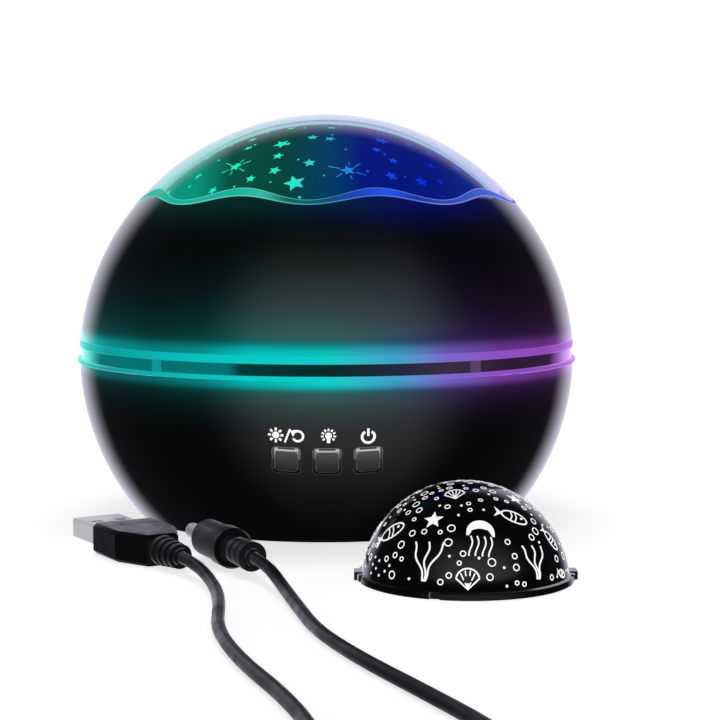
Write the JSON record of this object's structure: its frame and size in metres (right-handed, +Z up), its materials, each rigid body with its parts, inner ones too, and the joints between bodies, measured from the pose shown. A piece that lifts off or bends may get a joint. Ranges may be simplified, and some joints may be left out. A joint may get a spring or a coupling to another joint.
{
  "type": "star projector night lamp",
  "caption": "Ball-shaped star projector with a glowing waist ring, clear wavy-edged cap over a turning star dome, push buttons, a spare dome and an unplugged lead.",
  "frame": {"origin": "centre of the non-slip pad's lower face, on the surface the lamp stands on", "axes": "+Z up along the ball's axis, -Y towards the front with the buttons, +X to the right seen from the front"},
  "size_m": [0.126, 0.3267, 0.1016],
  "materials": {
    "black_gloss": "high gloss black ABS",
    "black_matte": "fine matte black ABS",
    "clear_plastic": "clear polycarbonate, polished",
    "light_guide": "clear light guide, lit",
    "dome_film": "dark tinted dome with clear stars",
    "ocean_print": "gloss black with white print",
    "rubber_black": "soft black rubber",
    "pad_rubber": "fine matte pad",
    "nylon_white": "natural nylon",
    "steel_zinc": "zinc plated",
    "nickel": "nickel plated",
    "gold_contact": "gold flash",
    "board_green": "green solder mask",
    "board_white": "white solder mask",
    "led_white": "LED package",
    "chip_black": "epoxy",
    "header_white": "nylon connector",
    "lens_clear": "clear acrylic",
    "lead_black": "soft black PVC"
  },
  "bodies": {
    "base": {"lower_shell": "black_gloss", "base_plate": "black_matte", "non_slip_pad": "pad_rubber", "base_screws": "steel_zinc", "inner_deck": "black_matte", "thrust_washer": "nylon_white", "deck_screws": "steel_zinc", "light_ring": "light_guide", "ring_led_board": "board_white", "ring_leds": "led_white", "gear_motor": "steel_zinc", "motor_screws": "steel_zinc", "lamp_holder": "nylon_white", "lamp_board": "board_white", "lamp_led": "led_white", "lamp_lens": "lens_clear", "lamp_screws": "steel_zinc", "tact_switches": "steel_zinc", "control_board": "board_green", "control_chip": "chip_black", "wire_headers": "header_white", "board_screws": "steel_zinc", "dc_jack": "black_matte"},
    "turntable": {"turntable": "black_matte"},
    "pinion": {"motor_shaft": "nickel", "drive_pinion": "nylon_white"},
    "star_dome": {"star_dome": "dome_film"},
    "cover": {"upper_shell": "black_gloss", "clear_cap": "clear_plastic"},
    "rotate_key": {"rotate_button": "black_gloss", "rotate_plunger": "black_matte"},
    "lamp_key": {"lamp_button": "black_gloss", "lamp_plunger": "black_matte"},
    "power_key": {"power_button": "black_gloss", "power_plunger": "black_matte"},
    "spare_dome": {"ocean_dome": "ocean_print"},
    "power_lead": {"usb_shell": "nickel", "usb_tongue": "black_matte", "usb_contacts": "gold_contact", "usb_overmould": "lead_black", "usb_strain_relief": "lead_black", "dc_barrel": "nickel", "dc_insulator": "chip_black", "dc_overmould": "lead_black", "dc_strain_relief": "lead_black", "lead_tube_usb": "lead_black", "lead_tube_dc": "lead_black", "lead_coil": "lead_black", "lead_tie": "rubber_black"}
  },
  "joints": [
    {"name": "turntable_spin", "type": "hinge", "parent": "base", "child": "turntable", "pos_m": [0, 0, 0.046], "axis": [0, 0, 1], "continuous": true},
    {"name": "pinion_spin", "type": "hinge", "parent": "base", "child": "pinion", "pos_m": [0.02121, 0.02121, 0.044], "axis": [0, 0, 1], "continuous": true},
    {"name": "star_dome_lift", "type": "slide", "parent": "turntable", "child": "star_dome", "axis": [0, 0, 1], "range_m": [0, 0.075]},
    {"name": "cover_lift", "type": "slide", "parent": "base", "child": "cover", "axis": [0, 0, 1], "range_m": [0, 0.15]},
    {"name": "rotate_press", "type": "slide", "parent": "base", "child": "rotate_key", "axis": [0, 0.9465, 0.3226], "range_m": [0, 0.0007], "stiffness_N_per_m": 900, "springref_m": -0.0008},
    {"name": "lamp_press", "type": "slide", "parent": "base", "child": "lamp_key", "axis": [0, 0.9465, 0.3226], "range_m": [0, 0.0007], "stiffness_N_per_m": 900, "springref_m": -0.0008},
    {"name": "power_press", "type": "slide", "parent": "base", "child": "power_key", "axis": [0, 0.9465, 0.3226], "range_m": [0, 0.0007], "stiffness_N_per_m": 900, "springref_m": -0.0008},
    {"name": "spare_dome_lift", "type": "slide", "parent": "base", "child": "spare_dome", "axis": [0, 0, 1], "range_m": [0, 0.1]},
    {"name": "power_lead_lift", "type": "slide", "parent": "base", "child": "power_lead", "axis": [0, -0.6, 0.8], "range_m": [0, 0.1]}
  ],
  "couplings": [
    {"joint": "pinion_spin", "follows": "turntable_spin", "ratio": -4},
    {"joint": "star_dome_lift", "follows": "cover_lift", "ratio": 0.5}
  ]
}
